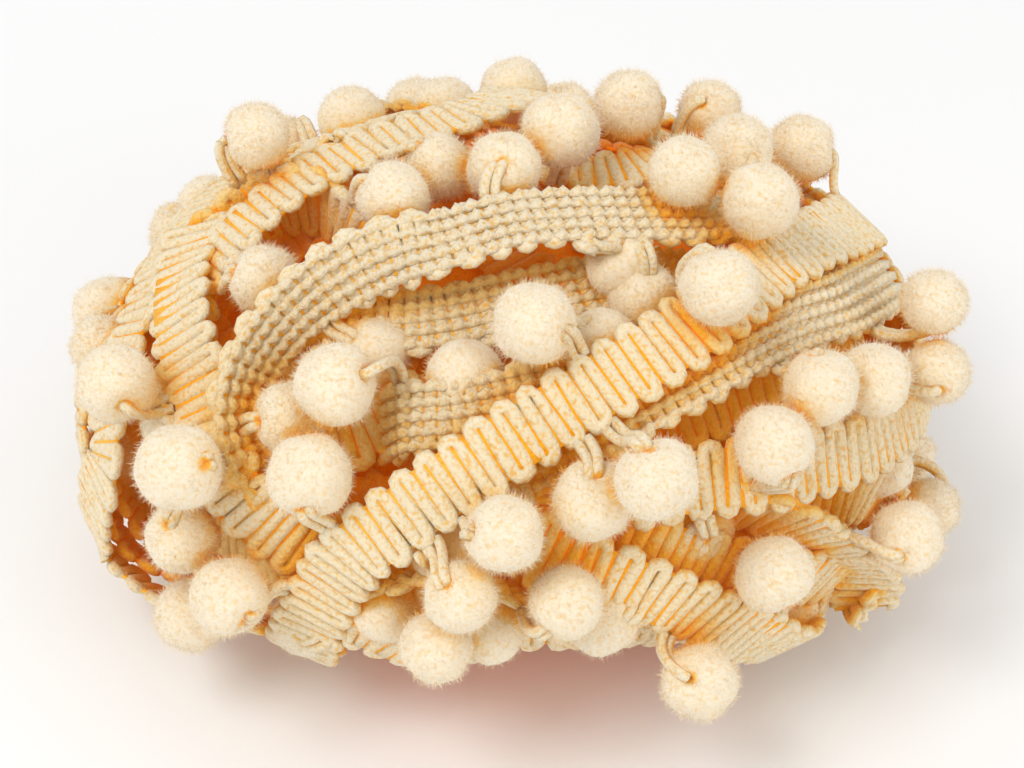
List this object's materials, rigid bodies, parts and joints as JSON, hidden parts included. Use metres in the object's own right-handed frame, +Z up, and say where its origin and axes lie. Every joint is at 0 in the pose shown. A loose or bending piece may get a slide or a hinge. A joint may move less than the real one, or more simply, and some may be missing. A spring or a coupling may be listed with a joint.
{
  "type": "pompom fringe trim",
  "caption": "Cream pompom fringe trim wound into a loose resting heap: ribbed knitted braid with plush balls on short cord loops along one edge.",
  "frame": {"origin": "under the middle of the heap, on the surface it rests on", "axes": "+X along the heap's length, +Y to its back, +Z up"},
  "size_m": [0.115, 0.1138, 0.0691],
  "materials": {
    "braid": "matt knitted cotton braid",
    "pompom": "matt plush"
  },
  "bodies": {
    "root": {"wound_braid": "braid", "pompom_01": "pompom", "pompom_02": "pompom", "pompom_03": "pompom", "pompom_04": "pompom", "pompom_05": "pompom", "pompom_06": "pompom", "pompom_07": "pompom", "pompom_08": "pompom", "pompom_09": "pompom", "pompom_10": "pompom", "pompom_11": "pompom", "pompom_12": "pompom", "pompom_13": "pompom", "pompom_14": "pompom", "pompom_15": "pompom", "pompom_16": "pompom", "pompom_17": "pompom", "pompom_18": "pompom", "pompom_19": "pompom", "pompom_20": "pompom", "pompom_21": "pompom", "pompom_22": "pompom", "pompom_23": "pompom", "pompom_24": "pompom", "pompom_25": "pompom", "pompom_26": "pompom", "pompom_27": "pompom", "pompom_28": "pompom", "pompom_29": "pompom", "pompom_30": "pompom", "pompom_31": "pompom", "pompom_32": "pompom", "pompom_33": "pompom", "pompom_34": "pompom", "pompom_35": "pompom", "pompom_36": "pompom", "pompom_37": "pompom", "pompom_38": "pompom", "pompom_39": "pompom", "pompom_40": "pompom", "pompom_41": "pompom", "pompom_42": "pompom", "pompom_43": "pompom", "pompom_44": "pompom", "pompom_45": "pompom", "pompom_46": "pompom", "pompom_47": "pompom", "pompom_48": "pompom", "pompom_49": "pompom", "pompom_50": "pompom", "pompom_51": "pompom", "pompom_52": "pompom", "pompom_53": "pompom", "pompom_54": "pompom"}
  },
  "joints": []
}
